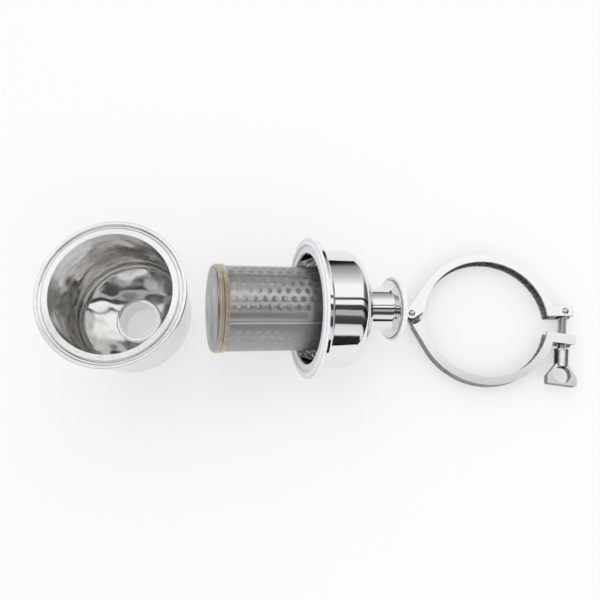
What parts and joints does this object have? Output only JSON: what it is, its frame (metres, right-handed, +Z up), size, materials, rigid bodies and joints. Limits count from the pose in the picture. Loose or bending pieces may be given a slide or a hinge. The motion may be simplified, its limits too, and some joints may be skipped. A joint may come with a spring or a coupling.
{
  "type": "sanitary inline strainer",
  "caption": "Polished clamp-flanged inline strainer taken apart: cup, bonnet with mesh strainer element and gaskets, and a hinged clamp with wing nut.",
  "frame": {"origin": "centre of the inlet port face, on the table", "axes": "+Z up along the cup's axis, +X from the cup towards the clamp"},
  "size_m": [0.4572, 0.1254, 0.116],
  "materials": {
    "mirror_steel": "mirror polished",
    "satin_steel": "satin",
    "cast_steel": "bead blasted casting",
    "mesh_steel": "fine woven wire mesh",
    "hem_wire": "woven wire band",
    "silicone": "matte white"
  },
  "bodies": {
    "root": {"inlet_body_ferrule": "mirror_steel", "inlet_shell": "mirror_steel", "inlet_dished_end": "mirror_steel", "inlet_port_ferrule": "mirror_steel", "outlet_body_ferrule": "mirror_steel", "outlet_shell": "mirror_steel", "outlet_dished_end": "mirror_steel", "outlet_port_ferrule": "mirror_steel", "body_gasket": "silicone", "port_gasket": "silicone", "element_socket": "satin_steel", "element_base_ring": "satin_steel", "perforated_tube": "satin_steel", "tube_end_plate": "satin_steel", "mesh_sleeve": "mesh_steel", "mesh_end_disc": "mesh_steel", "mesh_hem_band": "hem_wire", "clamp_lower_half": "cast_steel"},
    "upper_clamp": {"clamp_upper_half": "cast_steel", "hinge_pin": "satin_steel", "bolt_pin": "satin_steel"},
    "bolt": {"swing_bolt": "satin_steel"},
    "washer": {"seat_washer": "satin_steel"},
    "nut": {"wing_nut": "cast_steel"}
  },
  "joints": [
    {"name": "clamp_hinge", "type": "hinge", "parent": "root", "child": "upper_clamp", "pos_m": [0.2488, 0.0089, 0.0075], "axis": [0, 0, 1], "range_deg": [-4.5, 0.8]},
    {"name": "bolt_swing", "type": "hinge", "parent": "upper_clamp", "child": "bolt", "pos_m": [0.38959, 0.01039, 0.0075], "axis": [0, 0, 1], "range_deg": [0, 150]},
    {"name": "nut_travel", "type": "slide", "parent": "bolt", "child": "washer", "axis": [-0.1374, -0.9905, 0], "range_m": [-0.00125, 0.00375]},
    {"name": "nut_spin", "type": "hinge", "parent": "washer", "child": "nut", "pos_m": [0.38409, -0.02923, 0.0075], "axis": [-0.1374, -0.9905, 0], "range_deg": [-360, 1080]}
  ],
  "couplings": [
    {"joint": "nut_travel", "follows": "nut_spin", "m_per_rad": 0.00019894}
  ]
}
